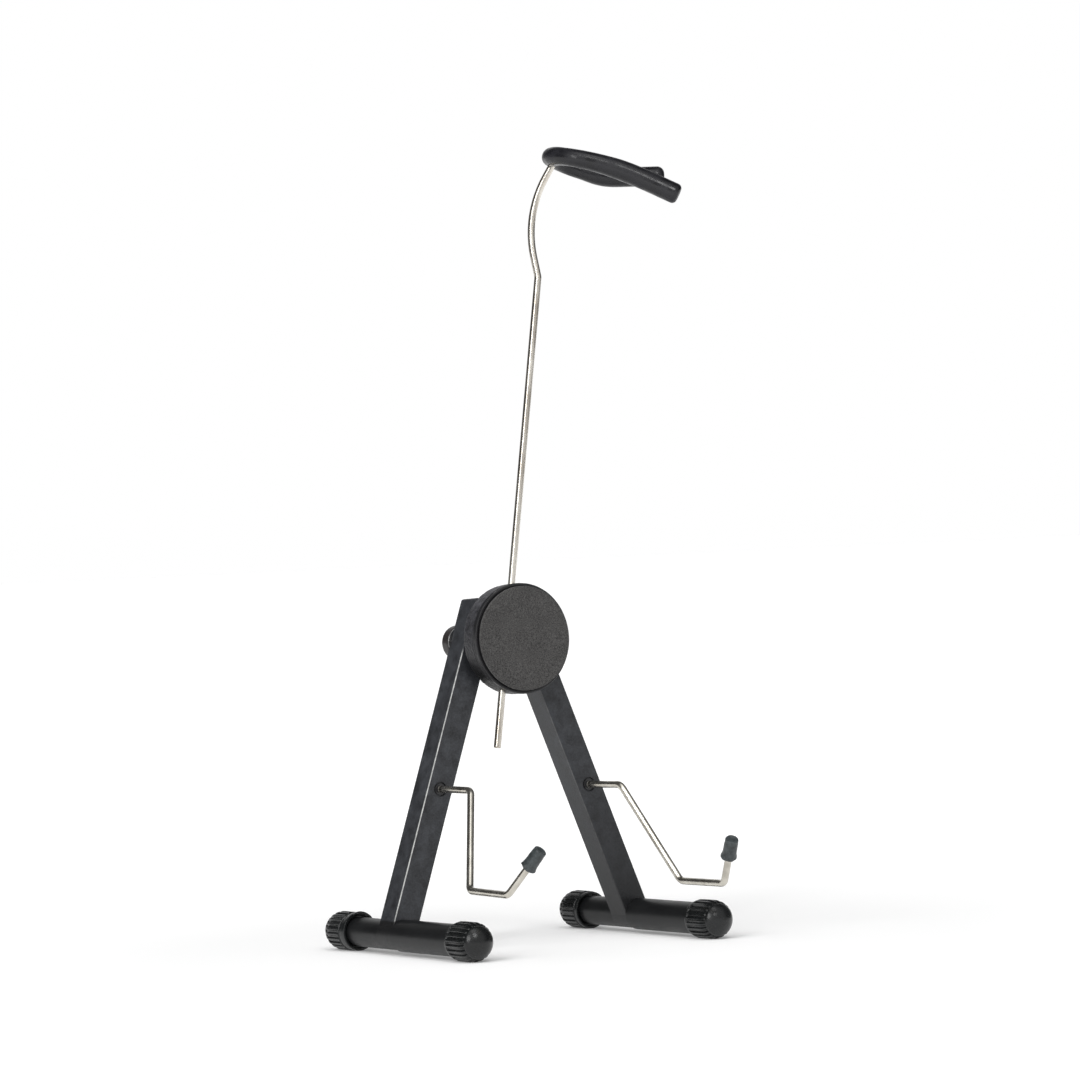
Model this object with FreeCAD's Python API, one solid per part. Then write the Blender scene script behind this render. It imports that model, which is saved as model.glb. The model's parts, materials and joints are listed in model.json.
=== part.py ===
import FreeCAD, Part
import math
import os

# Folding miniature guitar stand. Millimetres, +Z up, front towards -Y.
# It is drawn from a point on the floor midway between the two feet, under the middle of the legs,
# and then moved so that the origin is under the middle of the whole stand's bounding box.

Vector = FreeCAD.Vector
Z_AXIS = Vector(0, 0, 1)

# Middle of the whole stand's bounding box, in plan
MIDDLE_X = 4.41
MIDDLE_Y = -14.86

# Fits
RUN_CLEARANCE = 0.05      # radial play of a shaft in its hole
FACE_GAP = 0.1            # play between faces that turn against each other

# Legs
LEG_SECTION = 7.25        # square
LEG_SPREAD = 20.5         # degrees that each leg stands out from upright
LEG_LEAN = 2.1            # degrees that the legs' plane leans back
LEG_LENGTH = 78.3         # foot bar's axis to pivot
LEG_TOP = 10.8            # pivot to top end
LEG_EDGE_RADIUS = 0.3
LEG_TOP_RADIUS = 0.9
PIVOT_OFFSET = 8.4        # each leg's pivot from the middle

# Foot bars and caps
BAR_HEIGHT = 4.95         # axis over the floor: each cap rests on a small flat
REAR_BAR_RADIUS = 3.8
FRONT_SLEEVE_RADIUS = 4.1
SPIGOT_RADIUS = 2.5       # the bar where it passes through leg and sleeve
# Middle of the leg to each cap's dome centre, left and right. The caps are pushed on by hand,
# so the reaches differ a little.
FRONT_REACH = {-1: 37.1, 1: 37.9}
REAR_REACH = {-1: 26.2, 1: 25.4}
CAP_RADIUS = 5.0
CAP_RING_RADIUS = 4.7
CAP_RING_LENGTH = 1.3
CAP_COLLAR_LENGTH = 6.2   # dome centre to the cap's inner end
CAP_BORE_DEPTH = 5.0
FLUTE_COUNT = 24
FLUTE_RADIUS = 0.42
FLUTE_DEPTH = 0.35
SLEEVE_EDGE_RADIUS = 0.3

# Hub, from the legs' front face forwards
LEG_WASHER = (0.1, 0.6)
CARRIER = (0.6, 2.8)
SPRING_WASHER = (2.3, 2.95)
DRUM = (3.05, 7.05)
RIM_PLATE = (7.05, 8.55)
FOAM = (8.55, 9.75)
CARRIER_RADIUS = 12.0
DRUM_RADIUS = 14.0
RIM_RADIUS = 14.25
FOAM_RADIUS = 13.6
LEG_WASHER_RADIUS = 3.4
SPRING_WASHER_RADIUS = 4.4
SPRING_WASHER_BORE = 1.4
SCREW_RADIUS = 1.0
SCREW_HEAD_RADIUS = 1.9
SCREW_HEAD_HEIGHT = 1.3
SCREW_SLOT = (0.5, 0.6)   # width and depth
NUT_ACROSS_FLATS = 4.0
NUT = (-1.1, 0.5)
SCREW_END = -1.4
STUD_RADIUS = 1.5
STUD_HEAD_RADIUS = 2.6
STUD_HEAD_HEIGHT = 0.8
STUD_END = -10.7

# Knobs on the studs, behind the legs
KNOB_FRONT = -LEG_SECTION - FACE_GAP
KNOB_THICKNESS = 4.6
KNOB_RIM = 2.6            # height of the fluted rim
KNOB_RADIUS = 4.5
KNOB_DOME_FLAT = 2.2      # radius of the flat middle of the back
KNOB_FLUTE_COUNT = 18
KNOB_FLUTE_RADIUS = 0.4
INSERT_RADIUS = 2.6
INSERT_LENGTH = 3.0
KNOB_WELL_RADIUS = 1.8
KNOB_WELL_DEPTH = 4.0

# Rod and yoke
ROD_RADIUS = 0.925
ROD_LEAN = 10.0           # degrees from upright, in the drum's plane
ROD_OFFSET = 2.7          # rod's axis from the drum's axis
ROD_DEPTH = 5.05          # rod's axis in front of the legs' front face
ROD_BELOW = 28.6          # rod's lower end under the drum's axis
ROD_KINK = 94.3           # start of the bow over the drum's axis
ROD_BOW = (-4.8, 16.1)    # the bow's corner: sideways and up from the kink
ROD_TOP = (1.1, 29.6)     # where the rod meets the yoke
ROD_BEND = 2.0
ROD_BOW_RADIUS = 31.0
ROD_END_RADIUS = 0.3
BUSH_RADIUS = 1.4
BUSH_HALF_LENGTH = 13.2
YOKE_TURN = 57.0          # degrees that the yoke's mouth is turned from the front towards +X
YOKE_HALF_WIDTH = 8.5     # centre line of each branch from the middle
YOKE_CORE_RADIUS = 0.9
YOKE_SLEEVE_RADIUS = 2.6
YOKE_END_RADII = (0.9, 1.7)
YOKE_CORE_SHORT = 3.0     # the core stops this far inside each end of the sleeve
YOKE_BEND_RADIUS = 8.4
YOKE_DROOP_RADII = (78.0, 26.0)
# Corners of the yoke's centre line: along the mouth, across, up from the rod's kink
YOKE_CORNERS = [
    (34.7, -1, 22.8),
    (17.4, -1, 28.7),
    (0.7, -1, 31.15),
    (0.7, 1, 32.2),
    (14.5, 1, 29.7),
    (30.5, 1, 31.1),
]

# Arms
ARM_WIRE_RADIUS = 0.9
ARM_HOLE = {-1: 38.6, 1: 36.9}    # up the leg from the foot bar's axis, left and right
ARM_TURN = {-1: -5.4, 1: -1.9}    # degrees that each arm is turned in its hole, seen from the front
ARM_DIP = {-1: 0.7, 1: -0.4}      # degrees that each arm is bent down where it leaves the leg
ARM_BEND = 2.4
ARM_DIP_BEND = 8.0
ARM_STRAIGHT = 0.8        # the wire is straight up to this far in front of the leg
ARM_BACK_END = -8.85
# Runs of the arm from the leg's front face: outwards, up, forwards
ARM_RUNS = [(0.0, -0.4, 14.9), (8.1, -25.2, 13.95), (0.5, -0.8, 18.7), (-3.4, 11.2, 9.2)]
ARM_COLLAR = (-0.45, -0.1)
ARM_COLLAR_RADIUS = 1.45
ARM_RECESS_RADIUS = 1.9
ARM_RECESS_DEPTH = 0.55
CLIP = (-8.35, -7.35)
CLIP_RADIUS = 2.2
TIP_LENGTH = 5.9
TIP_TOP_RADIUS = 1.7
TIP_MIDDLE_RADIUS = 1.9
TIP_LIP_RADIUS = 2.2
TIP_LIP = 0.8
TIP_BORE = 4.0

SIDES = {"left": -1, "right": 1}

# Hub frame: x across, y up in the legs' plane, z forwards from the legs' front face.
# It starts midway between the two pivots.
lean = math.radians(LEG_LEAN)
up_leg = Vector(0, math.sin(lean), math.cos(lean))
forward = Vector(0, -math.cos(lean), math.sin(lean))
rise = LEG_LENGTH * math.cos(math.radians(LEG_SPREAD))
hub_centre = Vector(0, 0, BAR_HEIGHT) + up_leg * rise + forward * (LEG_SECTION / 2)
HUB_PLACE = FreeCAD.Placement(hub_centre, FreeCAD.Rotation(Vector(1, 0, 0), 90 - LEG_LEAN))

# Rod frame, inside the hub frame: x towards the yoke's mouth, y across, z up along the rod.
# It starts at the rod's kink.
rod_lean = math.radians(ROD_LEAN)
rod_up = Vector(math.sin(rod_lean), math.cos(rod_lean), 0)
rod_side = Vector(math.cos(rod_lean), -math.sin(rod_lean), 0)
turn = math.radians(YOKE_TURN)
mouth = Z_AXIS * math.cos(turn) + rod_side * math.sin(turn)
across = rod_side * math.cos(turn) - Z_AXIS * math.sin(turn)
rod_base = Z_AXIS * ROD_DEPTH - rod_side * ROD_OFFSET
kink = rod_base + rod_up * ROD_KINK


TO_MIDDLE = FreeCAD.Placement(Vector(-MIDDLE_X, -MIDDLE_Y, 0), FreeCAD.Rotation())
everything = []


def rod_point(along_mouth, over_kink, sideways=0.0):
    return kink + mouth * along_mouth + across * sideways + rod_up * over_kink


def save(name, shape, placement=HUB_PLACE):
    placed = shape.copy()
    placed.Placement = TO_MIDDLE.multiply(placement).multiply(placed.Placement)
    solids = placed.Solids
    everything.append(placed)
    print(name, "solids", len(solids), "valid", placed.isValid(), "volume", round(placed.Volume, 2))
    solids[0].exportStep("parts/" + name + ".step")


def disc(radius, span, x=0.0, y=0.0):
    return Part.makeCylinder(radius, span[1] - span[0], Vector(x, y, span[0]), Z_AXIS)


def rod(radius, start, end):
    run = end - start
    return Part.makeCylinder(radius, run.Length, start, run)


def turned(outline):
    """Solid of revolution about Z of an outline of (radius, height) points."""
    points = [Vector(radius, 0, height) for radius, height in outline]
    face = Part.Face(Part.makePolygon(points + points[:1]))
    return face.revolve(Vector(0, 0, 0), Z_AXIS, 360)


def bent_wire(points, bends, radius):
    """Round wire along straight runs joined by tangent arcs, one bend radius per inner point."""
    edges = []
    start = points[0]
    for before, corner, after, bend in zip(points, points[1:], points[2:], bends):
        incoming = (corner - before).normalize()
        outgoing = (after - corner).normalize()
        angle = incoming.getAngle(outgoing)
        cut = bend * math.tan(angle / 2)
        inwards = (outgoing - incoming).normalize()
        arc_start = corner - incoming * cut
        arc_middle = corner + inwards * (bend / math.cos(angle / 2) - bend)
        arc_end = corner + outgoing * cut
        edges.append(Part.LineSegment(start, arc_start).toShape())
        edges.append(Part.Arc(arc_start, arc_middle, arc_end).toShape())
        start = arc_end
    edges.append(Part.LineSegment(start, points[-1]).toShape())
    path = Part.Wire(edges)
    circle = Part.Wire([Part.makeCircle(radius, points[0], points[1] - points[0])])
    wire = path.makePipeShell([circle], True, False)
    expected = math.pi * radius * radius * path.Length
    print("  wire length", round(path.Length, 2), "volume ratio", round(wire.Volume / expected, 4))
    return wire


def round_end(wire, point, radius):
    """Rounds the edge of a wire's flat end at the given point."""
    edges = []
    for edge in wire.Edges:
        is_circle = isinstance(edge.Curve, Part.Circle)
        if is_circle and (edge.Curve.Center - point).Length < radius / 2:
            edges.append(edge)
    return wire.makeFillet(radius, edges)


# Hub

def hub_carrier():
    plate = disc(CARRIER_RADIUS, CARRIER)
    recess = disc(SPRING_WASHER_RADIUS + 2 * RUN_CLEARANCE, (SPRING_WASHER[0], CARRIER[1]))
    plate = plate.cut(recess)
    plate = plate.cut(disc(SCREW_RADIUS + RUN_CLEARANCE, CARRIER))
    for side in SIDES.values():
        x = side * PIVOT_OFFSET
        plate = plate.cut(disc(STUD_RADIUS, CARRIER, x))
        plate = plate.cut(disc(STUD_HEAD_RADIUS, (CARRIER[1] - STUD_HEAD_HEIGHT, CARRIER[1]), x))
    return plate


def pivot_stud(side):
    x = side * PIVOT_OFFSET
    shank = disc(STUD_RADIUS, (STUD_END, CARRIER[1] - STUD_HEAD_HEIGHT), x)
    head = disc(STUD_HEAD_RADIUS, (CARRIER[1] - STUD_HEAD_HEIGHT, CARRIER[1]), x)
    return shank.fuse(head).removeSplitter()


def leg_washer(side):
    x = side * PIVOT_OFFSET
    return disc(LEG_WASHER_RADIUS, LEG_WASHER, x).cut(disc(STUD_RADIUS, LEG_WASHER, x))


def spring_washer():
    return disc(SPRING_WASHER_RADIUS, SPRING_WASHER).cut(disc(SPRING_WASHER_BORE, SPRING_WASHER))


def hub_drum():
    drum = disc(DRUM_RADIUS, DRUM)
    drum = drum.cut(disc(SCREW_RADIUS, DRUM))
    reach = rod_up * DRUM_RADIUS
    cross_hole = rod(BUSH_RADIUS + RUN_CLEARANCE, rod_base - reach, rod_base + reach)
    return drum.cut(cross_hole)


def rim_plate():
    return disc(RIM_RADIUS, RIM_PLATE).cut(disc(SCREW_HEAD_RADIUS, RIM_PLATE))


def foam_pad():
    return disc(FOAM_RADIUS, FOAM)


def hub_screw():
    head_span = (DRUM[1], DRUM[1] + SCREW_HEAD_HEIGHT)
    screw = disc(SCREW_RADIUS, (SCREW_END, DRUM[1])).fuse(disc(SCREW_HEAD_RADIUS, head_span))
    width, depth = SCREW_SLOT
    corner = Vector(-SCREW_HEAD_RADIUS, -width / 2, head_span[1] - depth)
    slot = Part.makeBox(2 * SCREW_HEAD_RADIUS, width, depth, corner)
    return screw.removeSplitter().cut(slot)


def hub_nut():
    corner_radius = NUT_ACROSS_FLATS / 2 / math.cos(math.radians(30))
    corners = []
    for index in range(7):
        angle = math.radians(60 * index)
        corners.append(Vector(corner_radius * math.cos(angle), corner_radius * math.sin(angle), NUT[0]))
    hexagon = Part.Face(Part.makePolygon(corners)).extrude(Z_AXIS * (NUT[1] - NUT[0]))
    return hexagon.cut(disc(SCREW_RADIUS, NUT))


# Rod and yoke

def rod_bush():
    start = rod_base - rod_up * BUSH_HALF_LENGTH
    end = rod_base + rod_up * BUSH_HALF_LENGTH
    return rod(BUSH_RADIUS, start, end).cut(rod(ROD_RADIUS + RUN_CLEARANCE, start, end))


def yoke_points(shorten):
    points = []
    for along, side, up in YOKE_CORNERS:
        points.append(rod_point(along, up, side * YOKE_HALF_WIDTH))
    points[0] = points[0] + (points[1] - points[0]).normalize() * shorten
    points[-1] = points[-1] + (points[-2] - points[-1]).normalize() * shorten
    return points


def yoke_wire(radius, shorten):
    bends = [YOKE_DROOP_RADII[0], YOKE_BEND_RADIUS, YOKE_BEND_RADIUS, YOKE_DROOP_RADII[1]]
    return bent_wire(yoke_points(shorten), bends, radius)


def neck_rod():
    bottom = rod_base - rod_up * ROD_BELOW
    points = [bottom, kink, rod_point(*ROD_BOW), rod_point(*ROD_TOP)]
    wire = bent_wire(points, [ROD_BEND, ROD_BOW_RADIUS], ROD_RADIUS)
    return round_end(wire, bottom, ROD_END_RADIUS)


# Legs, drawn upright from the pivot and then turned out

def leg_place(side):
    return FreeCAD.Placement(Vector(side * PIVOT_OFFSET, 0, 0), FreeCAD.Rotation(Z_AXIS, side * LEG_SPREAD))


def foot_axis(side, reach):
    """Point on a foot bar's axis, reach millimetres in front of the leg's middle."""
    spread = math.radians(LEG_SPREAD)
    return Vector(side * (PIVOT_OFFSET + LEG_LENGTH * math.sin(spread)), -reach, BAR_HEIGHT)


def foot_cylinder(side, radius, front, rear):
    return rod(radius, foot_axis(side, front), foot_axis(side, rear))


def arm_hole(side):
    """Middle of an arm's hole on the leg's front face, in the hub frame."""
    return leg_place(side).multVec(Vector(0, ARM_HOLE[side] - LEG_LENGTH, 0))


def leg(side):
    half = LEG_SECTION / 2
    bar = Part.makeBox(
        LEG_SECTION, LEG_LENGTH + LEG_TOP, LEG_SECTION, Vector(-half, -LEG_LENGTH, -LEG_SECTION)
    )
    top_edges = []
    for edge in bar.Edges:
        middle = edge.CenterOfMass
        if middle.y > LEG_TOP - 0.1 and abs(middle.x) > half - 0.1:
            top_edges.append(edge)
    bar = bar.makeFillet(LEG_TOP_RADIUS, top_edges)
    long_edges = [edge for edge in bar.Edges if edge.Length > LEG_LENGTH]
    bar = bar.makeFillet(LEG_EDGE_RADIUS, long_edges)
    bar = bar.cut(disc(STUD_RADIUS + RUN_CLEARANCE, (-LEG_SECTION, 0)))

    hole_y = ARM_HOLE[side] - LEG_LENGTH
    bar = bar.cut(disc(ARM_WIRE_RADIUS + RUN_CLEARANCE, (-LEG_SECTION, 0), 0, hole_y))
    bar = bar.cut(disc(ARM_RECESS_RADIUS, (-ARM_RECESS_DEPTH, 0), 0, hole_y))

    bar.Placement = leg_place(side)
    foot = foot_cylinder(side, REAR_BAR_RADIUS, LEG_SECTION, -LEG_SECTION)
    foot.Placement = HUB_PLACE.inverse().multiply(foot.Placement)
    slab = Part.makeBox(
        4 * LEG_LENGTH, 4 * LEG_LENGTH, LEG_SECTION,
        Vector(-2 * LEG_LENGTH, -2 * LEG_LENGTH, -LEG_SECTION),
    )
    eye = foot.common(slab)
    bore = foot_cylinder(side, SPIGOT_RADIUS, LEG_SECTION, -LEG_SECTION)
    bore.Placement = HUB_PLACE.inverse().multiply(bore.Placement)
    return bar.fuse(eye).cut(bore).removeSplitter()


def in_world(shape):
    placed = shape.copy()
    placed.Placement = HUB_PLACE.multiply(placed.Placement)
    return placed


def foot_bar(side, leg_shape):
    spigot_end = FRONT_REACH[side] - CAP_COLLAR_LENGTH + CAP_BORE_DEPTH
    rear_end = REAR_REACH[side] - CAP_COLLAR_LENGTH + CAP_BORE_DEPTH
    rear = foot_cylinder(side, REAR_BAR_RADIUS, 0, -rear_end).cut(in_world(leg_shape))
    thick = max(rear.Solids, key=lambda solid: solid.Volume)
    return thick.fuse(foot_cylinder(side, SPIGOT_RADIUS, spigot_end, -rear_end)).removeSplitter()


def foot_sleeve(side, leg_shape):
    end = FRONT_REACH[side] - CAP_COLLAR_LENGTH + CAP_BORE_DEPTH
    tube = foot_cylinder(side, FRONT_SLEEVE_RADIUS, end, 0).cut(foot_cylinder(side, SPIGOT_RADIUS, end, 0))
    tube = tube.cut(foot_cylinder(side, REAR_BAR_RADIUS, LEG_SECTION / 2, 0).common(in_world(leg_shape)))
    front = max(tube.cut(in_world(leg_block(side))).Solids, key=lambda solid: solid.Volume)
    return front


def leg_block(side):
    """Everything within the leg's thickness around one foot, in the hub frame."""
    foot = leg_place(side).multVec(Vector(0, -LEG_LENGTH, 0))
    size = 4 * LEG_SECTION
    corner = foot + Vector(-size / 2, -size / 2, -LEG_SECTION)
    return Part.makeBox(size, size, LEG_SECTION, corner)


def foot_cap(bore_radius):
    """Cap on +Z with its dome's centre at the origin; the bar comes in from -Z."""
    collar = -CAP_COLLAR_LENGTH
    outline = [
        (0, 0),
        (CAP_RADIUS, 0),
        (CAP_RADIUS, collar + CAP_RING_LENGTH + 0.3),
        (CAP_RING_RADIUS, collar + CAP_RING_LENGTH),
        (CAP_RING_RADIUS, collar),
        (0, collar),
    ]
    cap = turned(outline).fuse(Part.makeSphere(CAP_RADIUS, Vector(0, 0, 0), Z_AXIS, 0, 90, 360))
    cap = cap.removeSplitter()
    flute_span = (collar + CAP_RING_LENGTH, -FLUTE_RADIUS)
    flutes = []
    for index in range(FLUTE_COUNT):
        angle = 2 * math.pi * index / FLUTE_COUNT
        reach = CAP_RADIUS + FLUTE_RADIUS - FLUTE_DEPTH
        x = reach * math.cos(angle)
        y = reach * math.sin(angle)
        flutes.append(disc(FLUTE_RADIUS, flute_span, x, y))
    cap = cap.cut(Part.makeCompound(flutes))
    return cap.cut(disc(bore_radius, (collar, collar + CAP_BORE_DEPTH)))


def placed_cap(side, at_front, bore_radius):
    reach = FRONT_REACH[side] if at_front else -REAR_REACH[side]
    tilt = 90 if at_front else -90
    cap = foot_cap(bore_radius)
    cap.Placement = FreeCAD.Placement(foot_axis(side, reach), FreeCAD.Rotation(Vector(1, 0, 0), tilt))
    centre = foot_axis(side, reach)
    below = Part.makeBox(
        4 * CAP_RADIUS, 4 * CAP_RADIUS, CAP_RADIUS,
        Vector(centre.x - 2 * CAP_RADIUS, centre.y - 2 * CAP_RADIUS, -CAP_RADIUS),
    )
    return cap.cut(below)


# Knobs

def knob(side):
    x = side * PIVOT_OFFSET
    back = -KNOB_THICKNESS
    outline = [
        (0, 0),
        (KNOB_RADIUS, 0),
        (KNOB_RADIUS, -KNOB_RIM),
        (KNOB_RADIUS - 0.6, -KNOB_RIM - 1.1),
        (KNOB_DOME_FLAT, back),
        (0, back),
    ]
    body = turned(outline)
    flutes = []
    for index in range(KNOB_FLUTE_COUNT):
        angle = 2 * math.pi * index / KNOB_FLUTE_COUNT
        reach = KNOB_RADIUS + KNOB_FLUTE_RADIUS / 3
        flutes.append(disc(KNOB_FLUTE_RADIUS, (back, 0), reach * math.cos(angle), reach * math.sin(angle)))
    body = body.cut(Part.makeCompound(flutes))
    body = body.cut(disc(INSERT_RADIUS, (-INSERT_LENGTH, 0)))
    body = body.cut(disc(KNOB_WELL_RADIUS, (-KNOB_WELL_DEPTH, 0)))
    body.translate(Vector(x, 0, KNOB_FRONT))
    return body


def knob_insert(side):
    x = side * PIVOT_OFFSET
    span = (KNOB_FRONT - INSERT_LENGTH, KNOB_FRONT)
    return disc(INSERT_RADIUS, span, x).cut(disc(STUD_RADIUS + RUN_CLEARANCE, span, x))


# Arms

def arm_points(side):
    """The arm's corners in the hub frame, from the clip behind the leg to the tip's top."""
    hole = arm_hole(side)
    points = [hole + Z_AXIS * ARM_BACK_END, hole + Z_AXIS * ARM_STRAIGHT]
    turned_by = FreeCAD.Rotation(Z_AXIS, ARM_TURN[side])
    dipped_by = FreeCAD.Rotation(Vector(1, 0, 0), ARM_DIP[side])
    reached = Vector(0, 0, 0)
    for outwards, up, forwards in ARM_RUNS:
        reached = reached + Vector(side * outwards, up, forwards)
        points.append(hole + turned_by.multVec(dipped_by.multVec(reached)))
    return points


def arm(side):
    points = arm_points(side)
    last_run = (points[-2] - points[-1]).normalize()
    points[-1] = points[-1] + last_run * (TIP_LENGTH - TIP_BORE)
    wire = bent_wire(points, [ARM_DIP_BEND] + [ARM_BEND] * 3, ARM_WIRE_RADIUS)
    hole = arm_hole(side)
    collar = disc(ARM_COLLAR_RADIUS, ARM_COLLAR, hole.x, hole.y)
    return wire.fuse(collar).removeSplitter()


def arm_tip(side):
    points = arm_points(side)
    axis = (points[-1] - points[-2]).normalize()
    outline = [
        (0, 0),
        (TIP_TOP_RADIUS - 0.3, 0),
        (TIP_TOP_RADIUS, -0.3),
        (TIP_MIDDLE_RADIUS, TIP_LIP - TIP_LENGTH),
        (TIP_LIP_RADIUS, -TIP_LENGTH),
        (0, -TIP_LENGTH),
    ]
    tip = turned(outline).cut(disc(ARM_WIRE_RADIUS, (-TIP_LENGTH, TIP_BORE - TIP_LENGTH)))
    tip.Placement = FreeCAD.Placement(points[-1], FreeCAD.Rotation(Z_AXIS, axis))
    return tip


def arm_clip(side):
    hole = arm_hole(side)
    return disc(CLIP_RADIUS, CLIP, hole.x, hole.y).cut(disc(ARM_WIRE_RADIUS, CLIP, hole.x, hole.y))


os.makedirs("parts", exist_ok=True)

save("hub_carrier", hub_carrier())
save("spring_washer", spring_washer())
save("hub_drum", hub_drum())
save("rim_plate", rim_plate())
save("foam_pad", foam_pad())
save("hub_screw", hub_screw())
save("hub_nut", hub_nut())
save("rod_bush", rod_bush())

core = yoke_wire(YOKE_CORE_RADIUS, YOKE_CORE_SHORT)
rod_shape = neck_rod().cut(core)
rod_shape = max(rod_shape.Solids, key=lambda solid: solid.Volume)
sleeve_ends = yoke_points(0)
sleeve = yoke_wire(YOKE_SLEEVE_RADIUS, 0)
sleeve = round_end(sleeve, sleeve_ends[0], YOKE_END_RADII[0])
sleeve = round_end(sleeve, sleeve_ends[-1], YOKE_END_RADII[1])
save("neck_rod", rod_shape)
save("yoke_core", core)
save("yoke_sleeve", sleeve.cut(core).cut(rod_shape))

WORLD = FreeCAD.Placement()
for name, side in SIDES.items():
    leg_shape = leg(side)
    save(name + "_leg", leg_shape)
    save(name + "_pivot_stud", pivot_stud(side))
    save(name + "_leg_washer", leg_washer(side))
    save(name + "_knob", knob(side))
    save(name + "_knob_insert", knob_insert(side))
    save(name + "_foot_bar", foot_bar(side, leg_shape), WORLD)
    save(name + "_foot_sleeve", foot_sleeve(side, leg_shape), WORLD)
    save(name + "_front_cap", placed_cap(side, True, FRONT_SLEEVE_RADIUS), WORLD)
    save(name + "_rear_cap", placed_cap(side, False, REAR_BAR_RADIUS), WORLD)
    save(name + "_arm", arm(side))
    save(name + "_arm_tip", arm_tip(side))
    save(name + "_arm_clip", arm_clip(side))

box = Part.makeCompound(everything).optimalBoundingBox(False, False)
print("bounding box", box.XMin, box.XMax, box.YMin, box.YMax, box.ZMin, box.ZMax)
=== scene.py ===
import bmesh
import bpy
import json
import math
from mathutils import Matrix, Vector, noise


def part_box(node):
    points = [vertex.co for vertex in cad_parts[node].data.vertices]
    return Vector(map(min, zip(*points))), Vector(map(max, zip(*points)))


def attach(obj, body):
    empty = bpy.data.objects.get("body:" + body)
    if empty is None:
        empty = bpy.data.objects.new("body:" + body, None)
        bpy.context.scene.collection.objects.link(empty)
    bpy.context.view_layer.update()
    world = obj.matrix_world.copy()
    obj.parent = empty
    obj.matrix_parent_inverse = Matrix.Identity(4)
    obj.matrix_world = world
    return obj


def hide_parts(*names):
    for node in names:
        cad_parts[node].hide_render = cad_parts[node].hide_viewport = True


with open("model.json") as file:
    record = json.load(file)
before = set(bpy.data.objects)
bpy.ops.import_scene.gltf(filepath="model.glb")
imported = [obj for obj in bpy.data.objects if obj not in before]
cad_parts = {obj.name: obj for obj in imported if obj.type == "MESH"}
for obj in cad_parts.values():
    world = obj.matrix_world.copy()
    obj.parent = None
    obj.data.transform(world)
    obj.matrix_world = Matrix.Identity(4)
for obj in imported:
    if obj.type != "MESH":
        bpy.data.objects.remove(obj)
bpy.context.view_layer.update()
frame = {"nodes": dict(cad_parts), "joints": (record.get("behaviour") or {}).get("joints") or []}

# Folding miniature guitar stand. Lengths are in millimetres until a mesh is written, in the row's frame.
MM = 0.001

NODES = frame["nodes"]
JOINTS = {joint["name"]: joint for joint in frame["joints"]}


def in_mm(values):
    return Vector(values) / MM


# ---------------------------------------------------------------------------------------------
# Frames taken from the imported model

# Hub frame: x across, y up in the legs' plane, z forwards, from the middle of the legs' front face.
HUB_CENTRE = in_mm(JOINTS["drum_swivel"]["pos_m"])
FORWARD = Vector(JOINTS["drum_swivel"]["axis"]).normalized()
X_AXIS = Vector((1, 0, 0))
UP_LEG = FORWARD.cross(X_AXIS)


def matrix_of(x_axis, y_axis, z_axis, origin):
    return Matrix((
        (x_axis.x, y_axis.x, z_axis.x, origin.x),
        (x_axis.y, y_axis.y, z_axis.y, origin.y),
        (x_axis.z, y_axis.z, z_axis.z, origin.z),
        (0, 0, 0, 1),
    ))


HUB = matrix_of(X_AXIS, UP_LEG, FORWARD, HUB_CENTRE)

# Rod frame: x towards the yoke's mouth, y across, z up along the rod, from the rod's kink.
YOKE_TURN = math.radians(57.0)
ROD_KINK = 94.3
ROD_BASE = in_mm(JOINTS["rod_spin"]["pos_m"])
ROD_UP = Vector(JOINTS["rod_spin"]["axis"]).normalized()
ROD_SIDE = ROD_UP.cross(FORWARD)
MOUTH = FORWARD * math.cos(YOKE_TURN) + ROD_SIDE * math.sin(YOKE_TURN)
ACROSS = ROD_SIDE * math.cos(YOKE_TURN) - FORWARD * math.sin(YOKE_TURN)
ROD = matrix_of(MOUTH, ACROSS, ROD_UP, ROD_BASE + ROD_UP * ROD_KINK)
SIDES = {"left": -1, "right": 1}


# ---------------------------------------------------------------------------------------------
# Mesh tools

def new_piece(name, vertices, faces, matrix, sharp):
    """Mesh object from points in millimetres. Edges that turn by more than this many degrees stay crisp."""
    placed = [(matrix @ Vector(v)) * MM for v in vertices]
    mesh = bpy.data.meshes.new(name)
    mesh.from_pydata(placed, [], faces)
    mesh.validate()
    edit = bmesh.new()
    edit.from_mesh(mesh)
    bmesh.ops.recalc_face_normals(edit, faces=edit.faces)
    edit.to_mesh(mesh)
    edit.free()
    mesh.shade_smooth()
    mesh.set_sharp_from_angle(angle=math.radians(sharp))
    piece = bpy.data.objects.new(name, mesh)
    bpy.context.scene.collection.objects.link(piece)
    return piece


def ring_faces(rings, segments):
    """Faces between neighbouring rings, and a flat one over each end."""
    faces = []
    for ring in range(rings - 1):
        for segment in range(segments):
            after = (segment + 1) % segments
            a = ring * segments
            b = a + segments
            faces.append((a + segment, a + after, b + after, b + segment))
    last = (rings - 1) * segments
    faces.append(tuple(reversed(range(segments))))
    faces.append(tuple(range(last, last + segments)))
    return faces


def lathe(name, outline, matrix, segments, shape=None, sharp=35.0):
    """Rings about local Z. outline holds (radius, height); shape(radius, height, angle) may move a point."""
    vertices = []
    for radius, height in outline:
        for segment in range(segments):
            angle = 2 * math.pi * segment / segments
            r, h = shape(radius, height, angle) if shape else (radius, height)
            vertices.append((r * math.cos(angle), r * math.sin(angle), h))
    return new_piece(name, vertices, ring_faces(len(outline), segments), matrix, sharp)


def corner(centre_r, centre_h, radius, start, end, steps):
    """Points of a rounded corner, angles in degrees from the radial direction."""
    points = []
    for step in range(steps + 1):
        angle = math.radians(start + (end - start) * step / steps)
        points.append((centre_r + radius * math.cos(angle), centre_h + radius * math.sin(angle)))
    return points


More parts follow.
